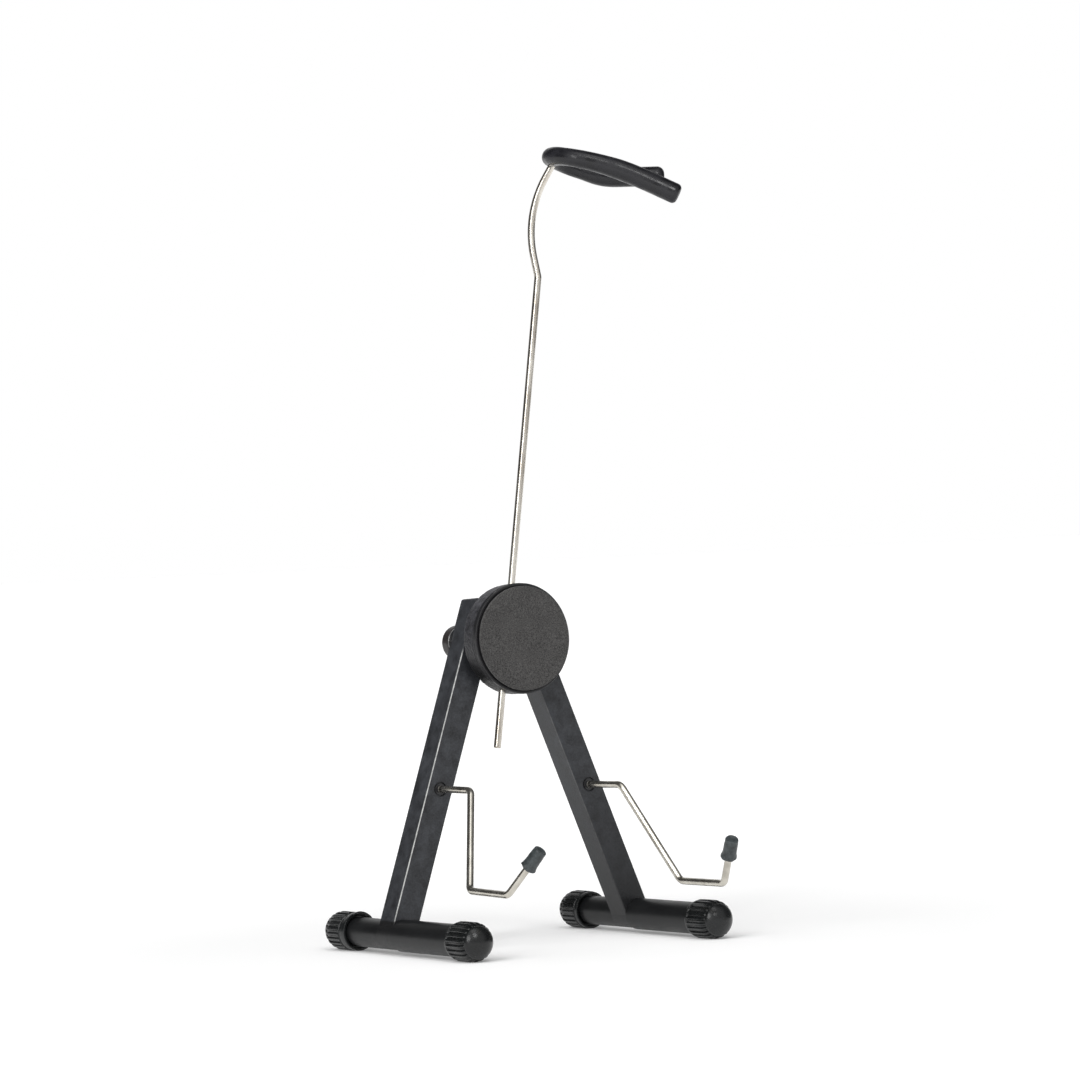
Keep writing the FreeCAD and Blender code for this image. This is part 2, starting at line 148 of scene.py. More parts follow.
def spread(outline, longest):
    """Adds points so that no step of the outline is longer than this."""
    result = [outline[0]]
    for start, end in zip(outline, outline[1:]):
        length = math.hypot(end[0] - start[0], end[1] - start[1])
        steps = max(1, math.ceil(length / longest))
        for step in range(1, steps + 1):
            share = step / steps
            result.append((start[0] + (end[0] - start[0]) * share, start[1] + (end[1] - start[1]) * share))
    return result


def bent_line(points, bends, step=0.5):
    """Samples of straight runs joined by tangent arcs, one bend radius per inner point."""
    samples = [points[0]]

    def run_to(target):
        start = samples[-1].copy()
        count = max(1, round((target - start).length / step))
        for index in range(1, count + 1):
            samples.append(start.lerp(target, index / count))

    for before, middle, after, bend in zip(points, points[1:], points[2:], bends):
        incoming = (middle - before).normalized()
        outgoing = (after - middle).normalized()
        angle = incoming.angle(outgoing)
        cut = bend * math.tan(angle / 2)
        run_to(middle - incoming * cut)
        centre = middle + (outgoing - incoming).normalized() * (bend / math.cos(angle / 2))
        start_arm = samples[-1] - centre
        axis = incoming.cross(outgoing).normalized()
        count = max(4, round(bend * angle / step))
        for index in range(1, count + 1):
            samples.append(centre + Matrix.Rotation(angle * index / count, 3, axis) @ start_arm)
    run_to(points[-1])
    return samples


def sweep(name, line, radius_at, segments, matrix, sharp):
    """Tube along the sampled line, without twist. radius_at takes the length so far and the whole length."""
    lengths = [0.0]
    for start, end in zip(line, line[1:]):
        lengths.append(lengths[-1] + (end - start).length)
    tangents = []
    for index in range(len(line)):
        before = line[max(index - 1, 0)]
        after = line[min(index + 1, len(line) - 1)]
        tangents.append((after - before).normalized())
    side = tangents[0].orthogonal().normalized()
    vertices = []
    for centre, tangent, length in zip(line, tangents, lengths):
        side = (side - tangent * side.dot(tangent)).normalized()
        other = tangent.cross(side)
        radius = radius_at(length, lengths[-1])
        for segment in range(segments):
            angle = 2 * math.pi * segment / segments
            vertices.append(centre + side * (radius * math.cos(angle)) + other * (radius * math.sin(angle)))
    return new_piece(name, vertices, ring_faces(len(line), segments), matrix, sharp)


# ---------------------------------------------------------------------------------------------
# Materials

def linear(value):
    return value / 12.92 if value <= 0.04045 else ((value + 0.055) / 1.055) ** 2.4


def colour(red, green, blue):
    """Linear colour from sRGB parts of 255."""
    return (linear(red / 255), linear(green / 255), linear(blue / 255), 1.0)


class Shader:
    """A Principled material with short calls for the nodes that vary its surface."""

    def __init__(self, name):
        self.material = bpy.data.materials.new(name)
        self.material.use_nodes = True
        self.nodes = self.material.node_tree.nodes
        self.links = self.material.node_tree.links
        self.surface = self.nodes["Principled BSDF"]
        self.place = self.nodes.new("ShaderNodeTexCoord").outputs["Object"]

    def set(self, values):
        for name, value in values.items():
            self.surface.inputs[name].default_value = value

    def link(self, start, end):
        self.links.new(start, end)

    def stretched(self, scale):
        node = self.nodes.new("ShaderNodeMapping")
        node.inputs["Scale"].default_value = scale
        self.link(self.place, node.inputs["Vector"])
        return node.outputs["Vector"]

    def noise(self, per_mm, detail=4.0, roughness=0.5, vector=None):
        """Noise with this many features to the millimetre."""
        node = self.nodes.new("ShaderNodeTexNoise")
        node.inputs["Scale"].default_value = per_mm / MM
        node.inputs["Detail"].default_value = detail
        node.inputs["Roughness"].default_value = roughness
        self.link(vector or self.place, node.inputs["Vector"])
        return node.outputs["Fac"]

    def cells(self, per_mm):
        """Distance from scattered points, so many to the millimetre."""
        node = self.nodes.new("ShaderNodeTexVoronoi")
        node.inputs["Scale"].default_value = per_mm / MM
        self.link(self.place, node.inputs["Vector"])
        return node.outputs["Distance"]

    def ranged(self, value, low, high, from_low=0.3, from_high=0.7):
        node = self.nodes.new("ShaderNodeMapRange")
        node.inputs["From Min"].default_value = from_low
        node.inputs["From Max"].default_value = from_high
        node.inputs["To Min"].default_value = low
        node.inputs["To Max"].default_value = high
        self.link(value, node.inputs["Value"])
        return node.outputs["Result"]

    def mixed(self, factor, first, second):
        node = self.nodes.new("ShaderNodeMix")
        node.data_type = "RGBA"
        self.link(factor, node.inputs["Factor"])
        for socket, value in (("A", first), ("B", second)):
            target = [i for i in node.inputs if i.name == socket and i.type == "RGBA"][0]
            if isinstance(value, tuple):
                target.default_value = value
            else:
                self.link(value, target)
        return [o for o in node.outputs if o.type == "RGBA"][0]

    def sum(self, first, second, share=1.0):
        """first, and this share of second."""
        node = self.nodes.new("ShaderNodeMath")
        node.operation = "MULTIPLY_ADD"
        self.link(second, node.inputs[0])
        node.inputs[1].default_value = share
        self.link(first, node.inputs[2])
        return node.outputs["Value"]

    def product(self, first, second):
        node = self.nodes.new("ShaderNodeMath")
        node.operation = "MULTIPLY"
        self.link(first, node.inputs[0])
        self.link(second, node.inputs[1])
        return node.outputs["Value"]

    def along(self, start, direction):
        node = self.nodes.new("ShaderNodeVectorMath")
        node.operation = "DOT_PRODUCT"
        self.link(start, node.inputs[0])
        node.inputs[1].default_value = direction
        return node.outputs["Value"]

    def height(self):
        return self.along(self.place, (0, 0, 1))

    def facing(self, direction):
        """1 where the surface faces this way, in the piece's own frame."""
        return self.along(self.nodes.new("ShaderNodeTexCoord").outputs["Normal"], direction)

    def colour_from(self, value):
        self.link(value, self.surface.inputs["Base Color"])

    def roughness_from(self, value):
        self.link(value, self.surface.inputs["Roughness"])

    def bump_from(self, value, strength, depth_mm):
        node = self.nodes.new("ShaderNodeBump")
        node.inputs["Strength"].default_value = strength
        node.inputs["Distance"].default_value = depth_mm * MM
        self.link(value, node.inputs["Height"])
        self.link(node.outputs["Normal"], self.surface.inputs["Normal"])


# Colour of a painted highlight along a leg's front edge
PAINTED_HIGHLIGHT = colour(205, 205, 202)
# Colour of painted shade low down on the legs and the drum
PAINTED_SHADE = colour(17, 17, 18)
# Colour of painted shade on the arm wires in and behind the legs
PAINTED_SHADE_STEEL = colour(34, 34, 36)
# Heights up to which the leg's painted edge highlight runs, below the hub
PAINTED_HIGHLIGHT_UP_TO = ((HUB_CENTRE.z - 3.0) * MM, (HUB_CENTRE.z - 1.5) * MM)


def moulded_plastic(name, dark, light, rough, grain=2.2, blotch=0.12, bump=0.35, shine=0.36,
                    painted_highlight_towards=None, painted_shade_below=None, depth=0.05):
    """Moulded plastic with a fine grain and faint cloudy patches.

    The highlight argument holds the direction that an edge with a painted highlight faces, and how light the
    highlight is.
    The shade argument holds the heights over which the plastic darkens towards the floor: painted shade.
    """
    shader = Shader(name)
    shader.set({"Specular IOR Level": shine})
    patches = shader.noise(blotch, 5.0, 0.62)
    specks = shader.noise(grain, 3.0, 0.6)
    tone = shader.sum(shader.ranged(patches, 0.0, 0.7), shader.ranged(specks, 0.0, 0.45))
    tint = shader.mixed(tone, dark, light)
    # Painted highlight on the edge that faces the given direction, broken up by noise, below the hub
    if painted_highlight_towards:
        direction, strength = painted_highlight_towards
        highlight_facing = shader.ranged(shader.facing(direction), 0.0, 1.0, 0.80, 0.93)
        uneven = shader.ranged(shader.noise(0.5, 4.0, 0.7), strength * 0.45, strength, 0.35, 0.6)
        below_hub = shader.ranged(shader.height(), 1.0, 0.0, *PAINTED_HIGHLIGHT_UP_TO)
        share = shader.product(shader.product(highlight_facing, uneven), below_hub)
        tint = shader.mixed(share, tint, PAINTED_HIGHLIGHT)
    # Painted shade: darker towards the floor
    if painted_shade_below:
        low, high = painted_shade_below
        share = shader.ranged(shader.height(), 0.0, 1.0, low * MM, high * MM)
        tint = shader.mixed(share, PAINTED_SHADE, tint)
    shader.colour_from(tint)
    surface = shader.sum(patches, specks, 0.6)
    shader.roughness_from(shader.ranged(surface, rough - 0.07, rough + 0.09, 0.55, 1.05))
    shader.bump_from(shader.sum(specks, patches, 0.8), bump, depth)
    return shader.material


def drawn_steel(name, along, dark, light, painted_shade_behind=None):
    """Bright wire with faint patches. Below a given height measured along FORWARD it is dull and dark:
    painted shade where the wire runs into a leg.
    """
    shader = Shader(name)
    patches = shader.noise(0.22, 3.0, 0.5, shader.stretched(along))
    tint = shader.mixed(shader.ranged(patches, 0.0, 1.0, 0.35, 0.65), dark, light)
    if painted_shade_behind is None:
        shader.set({"Metallic": 1.0})
    else:
        # Painted shade on the wire from just in front of the legs' front face backwards
        height = shader.along(shader.place, FORWARD)
        unshaded = shader.ranged(height, 0.0, 1.0, (painted_shade_behind - 0.1) * MM, (painted_shade_behind + 0.5) * MM)
        tint = shader.mixed(unshaded, PAINTED_SHADE_STEEL, tint)
        shader.link(unshaded, shader.surface.inputs["Metallic"])
    shader.colour_from(tint)
    shader.roughness_from(shader.ranged(patches, 0.20, 0.30, 0.35, 0.65))
    return shader.material


def machined_metal(name, dark, light, blotch, grain, rough):
    """Plain metal. rough holds the lowest and the highest roughness."""
    shader = Shader(name)
    shader.set({"Metallic": 1.0})
    patches = shader.noise(blotch, 4.0)
    shader.colour_from(shader.mixed(patches, dark, light))
    shader.roughness_from(shader.ranged(patches, *rough))
    shader.bump_from(shader.noise(grain, 3.0), 0.15, 0.01)
    return shader.material


def foam_rubber(name):
    """Closed-cell foam: dark and light specks, small pits, little shine."""
    shader = Shader(name)
    shader.set({"Roughness": 0.93, "Specular IOR Level": 0.18, "Sheen Weight": 0.12, "Sheen Roughness": 0.6})
    specks = shader.noise(3.2, 5.0, 0.8)
    patches = shader.noise(0.16, 3.0)
    tone = shader.sum(shader.ranged(specks, 0.0, 1.0, 0.38, 0.62), shader.ranged(patches, -0.07, 0.07))
    shader.colour_from(shader.mixed(tone, colour(26, 25, 25), colour(82, 81, 80)))
    pits = shader.ranged(shader.cells(2.4), 0.0, 1.0, 0.05, 0.5)
    shader.bump_from(shader.sum(specks, pits, 0.6), 0.75, 0.09)
    return shader.material


def glossy_tube(name):
    shader = Shader(name)
    shader.set({"Specular IOR Level": 0.36, "Coat Weight": 0.12, "Coat Roughness": 0.12})
    patches = shader.noise(0.25, 4.0, 0.6)
    shader.colour_from(shader.mixed(shader.ranged(patches, 0.0, 1.0), colour(12, 12, 15), colour(27, 27, 32)))
    shader.roughness_from(shader.ranged(patches, 0.20, 0.60, 0.36, 0.64))
    shader.bump_from(shader.noise(0.35, 2.0, 0.5), 0.22, 0.08)
    return shader.material


def tip_rubber(name):
    shader = Shader(name)
    shader.set({"Specular IOR Level": 0.45})
    patches = shader.noise(0.5, 5.0, 0.65)
    specks = shader.noise(3.4, 3.0, 0.6)
    tone = shader.sum(shader.ranged(patches, 0.0, 0.8), shader.ranged(specks, 0.0, 0.5))
    shader.colour_from(shader.mixed(tone, colour(14, 16, 18), colour(66, 72, 74)))
    shader.roughness_from(shader.ranged(specks, 0.28, 0.52))
    shader.bump_from(shader.sum(specks, patches), 0.35, 0.08)
    return shader.material


def leg_plastic(side, highlight_strength, painted_shade_below):
    """A leg's plastic, with a painted highlight of this strength along one front edge."""
    highlight_normal = (FORWARD - X_AXIS * 0.937 - UP_LEG * (0.35 * SIDES[side])).normalized()
    return moulded_plastic(
        side + "_leg_plastic", colour(16, 16, 18), colour(58, 60, 64), 0.40, 2.2, 0.3, 0.8, shine=0.38,
        painted_highlight_towards=(highlight_normal, highlight_strength), painted_shade_below=painted_shade_below,
    )


# Per leg: strength of the painted edge highlight, and heights of the painted shade low down
LEG_PLASTIC = {
    "left": leg_plastic("left", 0.75, (8.5, 9.0)),
    "right": leg_plastic("right", 0.12, (-4.0, 46.0)),
}
FOOT_PLASTIC = moulded_plastic("foot_plastic", colour(10, 10, 11), colour(26, 27, 28), 0.34, 2.6, shine=0.27)
CAP_PLASTIC = moulded_plastic("cap_plastic", colour(7, 8, 8), colour(23, 25, 26), 0.26, 2.8, shine=0.46)
# The drum is darker towards its bottom: painted shade
DRUM_PLASTIC = moulded_plastic(
    "drum_plastic", colour(2, 2, 3), colour(86, 86, 91), 0.42, 1.3, 0.7, 1.0, 0.28,
    painted_shade_below=(HUB_CENTRE.z - 8.0, HUB_CENTRE.z + 15.0), depth=0.22,
)
RIM_PLASTIC = moulded_plastic("rim_plastic", colour(16, 16, 17), colour(36, 36, 38), 0.34)
KNOB_PLASTIC = moulded_plastic("knob_plastic", colour(26, 24, 24), colour(50, 46, 46), 0.34)
NYLON = moulded_plastic("washer_nylon", colour(188, 186, 178), colour(214, 212, 205), 0.5)
FOAM = foam_rubber("foam")
YOKE_TUBE = glossy_tube("yoke_tube")
TIP_RUBBER = tip_rubber("tip_rubber")
ROD_STEEL = drawn_steel("rod_steel", (1, 1, 0.4), colour(190, 182, 171), colour(234, 230, 221))
# The arm wire carries painted shade from 0.3 mm in front of the legs' front face backwards
ARM_STEEL = drawn_steel(
    "arm_steel", (1, 1, 1), colour(184, 179, 169), colour(222, 218, 208), FORWARD.dot(HUB_CENTRE) + 0.3
)
PLATED = machined_metal(
    "fastener_steel", colour(120, 120, 122), colour(168, 168, 166), 0.8, 6.0, (0.28, 0.42)
)
BRASS = machined_metal("brass", colour(176, 138, 70), colour(208, 172, 98), 1.2, 7.0, (0.25, 0.4))


def give(piece, material):
    piece.data.materials.clear()
    piece.data.materials.append(material)


CAD_MATERIALS = {
    "foot_bar": FOOT_PLASTIC,
    "foot_sleeve": FOOT_PLASTIC,
    "front_cap": CAP_PLASTIC,
    "rear_cap": CAP_PLASTIC,
    "pivot_stud": PLATED,
    "leg_washer": NYLON,
    "knob": KNOB_PLASTIC,
    "knob_insert": BRASS,
    "arm": ARM_STEEL,
    "arm_tip": TIP_RUBBER,
    "arm_clip": PLATED,
}
for side in SIDES:
    give(NODES[side + "_leg"], LEG_PLASTIC[side])
    for part, material in CAD_MATERIALS.items():
        give(NODES[side + "_" + part], material)
for node, material in {
    "hub_carrier": DRUM_PLASTIC,
    "spring_washer": PLATED,
    "hub_drum": DRUM_PLASTIC,
    "rim_plate": RIM_PLASTIC,
    "foam_pad": FOAM,
    "hub_screw": PLATED,
    "hub_nut": PLATED,
    "rod_bush": NYLON,
    "neck_rod": ROD_STEEL,
    "yoke_core": ROD_STEEL,
    "yoke_sleeve": YOKE_TUBE,
}.items():
    give(NODES[node], material)


def stand_for(piece, node, body, material):
    """The piece takes the place of this CAD node and rides on its body."""
    give(piece, material)
    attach(piece, body)
    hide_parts(node)


# ---------------------------------------------------------------------------------------------
# Hub

# Spans are heights in the hub frame, back and front.
DRUM_SPAN = (2.3, 7.06)
DRUM_RADIUS = 14.15
DRUM_OPENING = 12.3
RIM_SPAN = (7.05, 8.55)
RIM_RADIUS = 14.25
FOAM_SPAN = (8.55, 9.75)
FOAM_RADIUS = 13.45
FOAM_EDGE = 0.3
# Inside this radius the drum's front and the rim plate are flat, and the foam hides them.
HIDDEN_RADIUS = 12.0


def ease(low, high, value):
    """0 at low, 1 at high, and smooth between them. low may be the larger."""
    share = min(max((value - low) / (high - low), 0.0), 1.0)
    return share * share * (3 - 2 * share)


def drum_body():
    """Rough cast drum: pitted side, soft back edge, and a shallow recess in its back."""
    back, front = DRUM_SPAN
    outline = [(DRUM_OPENING, back + 1.0), (DRUM_OPENING, back + 0.1), (DRUM_OPENING + 0.2, back)]
    outline += corner(DRUM_RADIUS - 0.5, back + 0.5, 0.5, -90, 0, 5)
    outline += [(DRUM_RADIUS, front - 0.25), (DRUM_RADIUS - 0.25, front), (HIDDEN_RADIUS, front)]
    outline = spread(outline, 0.3)

    def shape(radius, height, angle):
        here = Vector((radius * math.cos(angle), radius * math.sin(angle), height))
        pits = noise.noise(here * 0.9) * 0.08 + noise.noise(here * 2.1) * 0.05
        return radius + pits * ease(12.4, 13.2, radius), height

    piece = lathe("drum_body", outline, HUB, 360, shape, 60.0)
    stand_for(piece, "hub_drum", "drum", DRUM_PLASTIC)


def rim_disc():
    """Thin plate: a crisp back edge, and a shallow step in front that the foam sits in."""
    back, front = RIM_SPAN
    outline = [(HIDDEN_RADIUS, back), (RIM_RADIUS - 0.3, back)]
    outline += corner(RIM_RADIUS - 0.14, back + 0.14, 0.14, -90, 0, 4)
    outline += [(RIM_RADIUS, back + 0.42), (RIM_RADIUS - 0.05, back + 0.48), (RIM_RADIUS - 0.05, front - 0.2)]
    outline += corner(RIM_RADIUS - 0.25, front - 0.22, 0.2, 0, 90, 4)
    outline += [(RIM_RADIUS - 0.6, front - 0.06), (RIM_RADIUS - 0.75, front - 0.3)]
    outline += [(HIDDEN_RADIUS, front - 0.3)]

    def shape(radius, height, angle):
        here = Vector((radius * math.cos(angle), radius * math.sin(angle), height))
        return radius + noise.noise(here * 0.5) * 0.03, height

    piece = lathe("rim_disc", outline, HUB, 240, shape, 40.0)
    stand_for(piece, "rim_plate", "drum", RIM_PLASTIC)


def foam_disc():
    """Foam pad, slightly uneven in front and round its edge."""
    back, front = FOAM_SPAN
    outline = [(0.02, back - 0.2), (FOAM_RADIUS - 0.5, back - 0.2), (FOAM_RADIUS - 0.45, back + 0.12)]
    outline += [(FOAM_RADIUS - 0.1, back + 0.3), (FOAM_RADIUS, back + 0.45)]
    outline += corner(FOAM_RADIUS - FOAM_EDGE, front - FOAM_EDGE, FOAM_EDGE, 0, 90, 5)
    outline += [(0.02, front)]
    outline = spread(outline, 0.45)

    def shape(radius, height, angle):
        here = Vector((radius * math.cos(angle), radius * math.sin(angle), height))
        ripple = noise.noise(here * 0.35) * 0.05 + noise.noise(here * 1.7) * 0.035
        if height > front - FOAM_EDGE:
            height = height + ripple - 0.05
        if radius > FOAM_RADIUS - FOAM_EDGE:
            radius = radius + noise.noise(here * 0.9) * 0.07 - 0.05
        return radius, height

    piece = lathe("foam_disc", outline, HUB, 240, shape, 60.0)
    stand_for(piece, "foam_pad", "drum", FOAM)


# ---------------------------------------------------------------------------------------------
# Knobs

KNOB_FRONT = -7.35
KNOB_DOME_STEPS = 10


def knob(side):
    """Smooth round thumb nut with a domed back, and a plated ring on its front face."""
    pivot = JOINTS[side + "_knob_turn"]["pos_m"][0] / MM - HUB_CENTRE.x
    base = HUB @ Matrix.Translation((pivot, 0, KNOB_FRONT))
    outline = [(2.62, -0.5), (2.62, -0.02), (3.9, -0.02), (4.0, -0.12), (4.1, -0.02)]
    outline += corner(4.25, -0.27, 0.25, 80, 0, 4)
    outline += [(4.5, -1.2), (4.5, -2.5)]
    outline += corner(3.9, -2.7, 0.6, 0, -48, 4)
    for step in range(1, KNOB_DOME_STEPS + 1):
        share = step / KNOB_DOME_STEPS
        outline.append((4.3 * (1 - share) + 0.02, -3.15 - 1.42 * math.sin(share * math.pi / 2)))
    dome = lathe(side + "_knob_dome", outline, base, 96, sharp=40.0)
    stand_for(dome, side + "_knob", side + "_knob", KNOB_PLASTIC)
    ring_outline = [(2.65, -0.03), (2.65, 0.05), (4.24, 0.05), (4.34, -0.06)]
    ring = lathe(side + "_knob_face", ring_outline, base, 96)
    give(ring, PLATED)
    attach(ring, side + "_knob")


# ---------------------------------------------------------------------------------------------
# Foot caps

CAP_RADIUS = 5.0
BAR_RADIUS = {"front": 4.1, "rear": 3.8}
CAP_RING_RADIUS = {"front": 4.72, "rear": 4.86}
# Length of each cap's collar, from the middle of its dome
CAP_COLLARS = {("left", "rear"): 7.9, ("right", "rear"): 6.6, ("left", "front"): 6.2, ("right", "front"): 6.2}
# Degrees up the dome from its rim, closer together round the end of the ribs
DOME_ANGLES = (
    4, 8, 12, 16, 20, 24, 27, 29, 30, 31, 32, 33.5, 36, 40, 45, 51, 57, 63, 69, 75, 80, 85, 89.7
)
RIB_COUNT = 22
RIB_TURN = {"left": 0.13, "right": 0.31}
RIB_START = -5.25
RIB_END = 31.0
RIB_DEPTH = 0.46
LIP_DEPTH = 0.13
FLASH_DEPTH = 1.3
FLASH_RISE = 0.42


def foot_cap(side, end):
    """Ribbed collar with a smooth dome let into it, open ring with a dark gap around the bar."""
    node = side + "_" + end + "_cap"
    low, high = (in_mm(c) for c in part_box(node))
    bar_radius = BAR_RADIUS[end]
    outwards = 1 if end == "front" else -1
    middle_y = low.y + CAP_RADIUS if end == "front" else high.y - CAP_RADIUS
    centre = Vector(((low.x + high.x) / 2, middle_y, high.z - CAP_RADIUS))
    matrix = matrix_of(X_AXIS, Vector((0, 0, outwards)), Vector((0, -outwards, 0)), centre)

    ring_end = -CAP_COLLARS[side, end]
    ring = CAP_RING_RADIUS[end]
    outline = [(bar_radius - 0.2, ring_end + 1.2), (bar_radius + 0.3, ring_end + 1.2)]
    outline += [(bar_radius + 0.33, ring_end + 0.12), (min(bar_radius + 0.6, ring - 0.25), ring_end)]
    outline += corner(ring - 0.16, ring_end + 0.16, 0.16, -90, 0, 3)
    outline += [(ring, RIB_START - 0.35), (ring - 0.2, RIB_START - 0.2), (ring - 0.2, RIB_START - 0.05)]
    outline += [(CAP_RADIUS - 0.14, RIB_START + 0.03), (CAP_RADIUS, RIB_START + 0.2)]
    outline += [(CAP_RADIUS, RIB_START + 0.2 + 0.35 * step) for step in range(1, 15)]
    for degrees in DOME_ANGLES:
        angle = math.radians(degrees)
        outline.append((CAP_RADIUS * math.cos(angle), CAP_RADIUS * math.sin(angle)))
    start = RIB_COUNT * RIB_TURN[side]
    has_flash = (side, end) == ("left", "rear")
    flash_start = ring_end + FLASH_DEPTH

    def shape(radius, height, angle):
        if has_flash and height < flash_start and radius > bar_radius + 0.4:
            # moulding flash left on the upper edge of the ring
            rise = max(-math.sin(angle), 0.0) ** 2 * ease(flash_start, ring_end, height)
            torn = noise.noise(Vector((math.cos(angle), math.sin(angle), 0.4)) * 4.0)
            return radius + rise * FLASH_RISE, height - rise * (0.25 + 0.9 * max(torn, -0.2))
        along = height if height <= 0 else math.degrees(math.atan2(height, radius))
        if height <= 0:
            weight = ease(RIB_START + 0.1, RIB_START + 0.6, height)
        else:
            weight = 1 - ease(RIB_END - 2.2, RIB_END, along)
        phase = (angle / (2 * math.pi) * RIB_COUNT + start) % 1.0
        groove = ease(0.30, 0.72, abs(2 * phase - 1)) * RIB_DEPTH * weight
        lip = 0.0
        if height > 0:
            before_end = ease(RIB_END - 3.5, RIB_END - 1.0, along)
            after_end = 1 - ease(RIB_END + 0.5, RIB_END + 3.0, along)
            lip = LIP_DEPTH * before_end * after_end
        elif radius < CAP_RADIUS - 0.2 or height < RIB_START + 0.05:
            return radius, height
        depth = max(groove, lip)
        if height > 0:
            share = (CAP_RADIUS - depth) / CAP_RADIUS
            return radius * share, height * share
        return radius - depth, height

    piece = lathe(node + "_ribbed", outline, matrix, RIB_COUNT * 12, shape, 50.0)
    # nothing reaches below the floor
    for vertex in piece.data.vertices:
        vertex.co.z = max(vertex.co.z, 0.0)
    stand_for(piece, node, side + "_leg", CAP_PLASTIC)


# ---------------------------------------------------------------------------------------------
# Yoke tube and arm tips

YOKE_HALF_WIDTH = 8.5
YOKE_BENDS = (78.0, 8.4, 8.4, 26.0)
YOKE_RADIUS = 2.43
# The near arm's bend is raised by this and the far arm's lowered.
YOKE_BEND_SHIFT = 0.42
NEAR_ARM_SHORTENING = 0.1
NEAR_ARM_DIP = 0.12
FAR_ARM_DIP = 0.43
# Length of the rounding at each end
NEAR_END_ROUNDING = 1.25
FAR_END_ROUNDING = 1.9
ROUNDING_SAMPLES = (0.0, 0.04, 0.13, 0.27, 0.45, 0.7, 1.0, 1.35, 1.75, 2.3)
# Along the mouth, side, up from the rod's kink
YOKE_CORNERS = [
    (34.7, -1, 22.8),
    (17.4, -1, 28.7),
    (0.7, -1, 31.15),
    (0.7, 1, 32.2),
    (14.5, 1, 29.7),
    (30.5, 1, 31.1),
]


def with_ends(line, offsets):
    """The line with extra samples close to both ends, for rounded ends."""
    first = (line[1] - line[0]).normalized()
    last = (line[-2] - line[-1]).normalized()
    reach = offsets[-1] + 0.1
    inner = [p for p in line if (p - line[0]).length > reach and (p - line[-1]).length > reach]
    start = [line[0] + first * d for d in offsets]
    end = [line[-1] + last * d for d in reversed(offsets)]
    return start + inner + end


def yoke_tube():
    """U-shaped tube, uneven in thickness, from the near arm's end round to the far arm's."""
    points = [Vector((along, side * YOKE_HALF_WIDTH, up)) for along, side, up in YOKE_CORNERS]
    points[0] += (points[1] - points[0]).normalized() * NEAR_ARM_SHORTENING
    points[1].z += YOKE_BEND_SHIFT
    points[4].z -= YOKE_BEND_SHIFT
    line = with_ends(bent_line(points, YOKE_BENDS, 0.6), ROUNDING_SAMPLES)

    def radius_at(length, total):
        share = length / total
        if share < 0.5:
            body = YOKE_RADIUS + 0.24 * ease(0.40, 0.22, share)
            rounding = NEAR_END_ROUNDING
        else:
            body = YOKE_RADIUS + 0.15 * ease(0.6, 0.8, share)
            rounding = FAR_END_ROUNDING
        body -= NEAR_ARM_DIP * ease(0.20, 0.28, share) * ease(0.48, 0.42, share)
        body -= FAR_ARM_DIP * ease(0.52, 0.58, share) * ease(0.80, 0.70, share)
        from_end = min(length, total - length)
        if from_end < rounding:
            body -= rounding - math.sqrt(max(rounding * rounding - (rounding - from_end) ** 2, 0.0))
        return max(body, 0.3)

    piece = sweep("yoke_tube", line, radius_at, 40, ROD, 50.0)
    stand_for(piece, "yoke_sleeve", "rod", YOKE_TUBE)


# Each arm's turn in its hole and its dip, in degrees, and its runs: outwards, up and forwards
ARM_TURN = {"left": -5.4, "right": -1.9}
ARM_DIP = {"left": 0.7, "right": -0.4}
ARM_RUNS = [(0.0, -0.4, 14.9), (8.1, -25.2, 13.95), (0.5, -0.8, 18.7), (-3.4, 11.2, 9.2)]
TIP_LENGTH = 5.9


def arm_tip(side):
    """Rubber tip: dimpled end, slight waist, and a flared lip with a torn edge."""
    turn = Matrix.Rotation(math.radians(ARM_TURN[side]), 4, "Z")
    dip = Matrix.Rotation(math.radians(ARM_DIP[side]), 4, "X")
    turned = turn @ dip
    hole = in_mm(JOINTS[side + "_arm_swivel"]["pos_m"])
    reached = Vector((0, 0, 0))
    corners = []
    for outwards, up, forwards in ARM_RUNS:
        reached = reached + Vector((SIDES[side] * outwards, up, forwards))
        corners.append(HUB.to_3x3() @ (turned @ reached) + hole)
    axis = (corners[-1] - corners[-2]).normalized()
    across = axis.orthogonal().normalized()
    matrix = matrix_of(across, axis.cross(across), axis, corners[-1])
    lip_outline = ((0.95, 0.5), (1.2, 0.2), (2.0, 0.02), (2.14, 0.1), (2.1, 0.35), (1.95, 0.8), (1.83, 1.35))
    outline = [(radius, -TIP_LENGTH + height) for radius, height in lip_outline]
    outline += [(1.8, -3.3), (1.78, -2.2), (1.74, -1.2), (1.7, -0.6)]
    outline += corner(1.36, -0.34, 0.34, 0, 90, 4)
    outline += [(1.15, -0.02), (0.95, -0.2), (0.5, -0.27), (0.02, -0.27)]
    outline = spread(outline, 0.35)
    seed = Vector((3.1, 0.7, 5.2)) * SIDES[side]

    def shape(radius, height, angle):
        here = Vector((math.cos(angle), math.sin(angle), height * 0.5)) + seed
        lip = 1 - ease(0.2, 1.6, height + TIP_LENGTH)
        height += lip * 0.5 * max(noise.noise(here * 1.3), -0.1)
        radius += 0.05 * noise.noise(here * 1.6) + lip * 0.16 * noise.noise(here * 2.3) - 0.02
        return max(radius, 0.02), height

    piece = lathe(side + "_rubber_tip", outline, matrix, 72, shape, 60.0)
    stand_for(piece, side + "_arm_tip", side + "_arm", TIP_RUBBER)


drum_body()
rim_disc()
foam_disc()
yoke_tube()
for side in SIDES:
    knob(side)
    arm_tip(side)
    for end in ("front", "rear"):
        foot_cap(side, end)


# ---------------------------------------------------------------------------------------------
# Stage: white table, plain backdrop, soft light

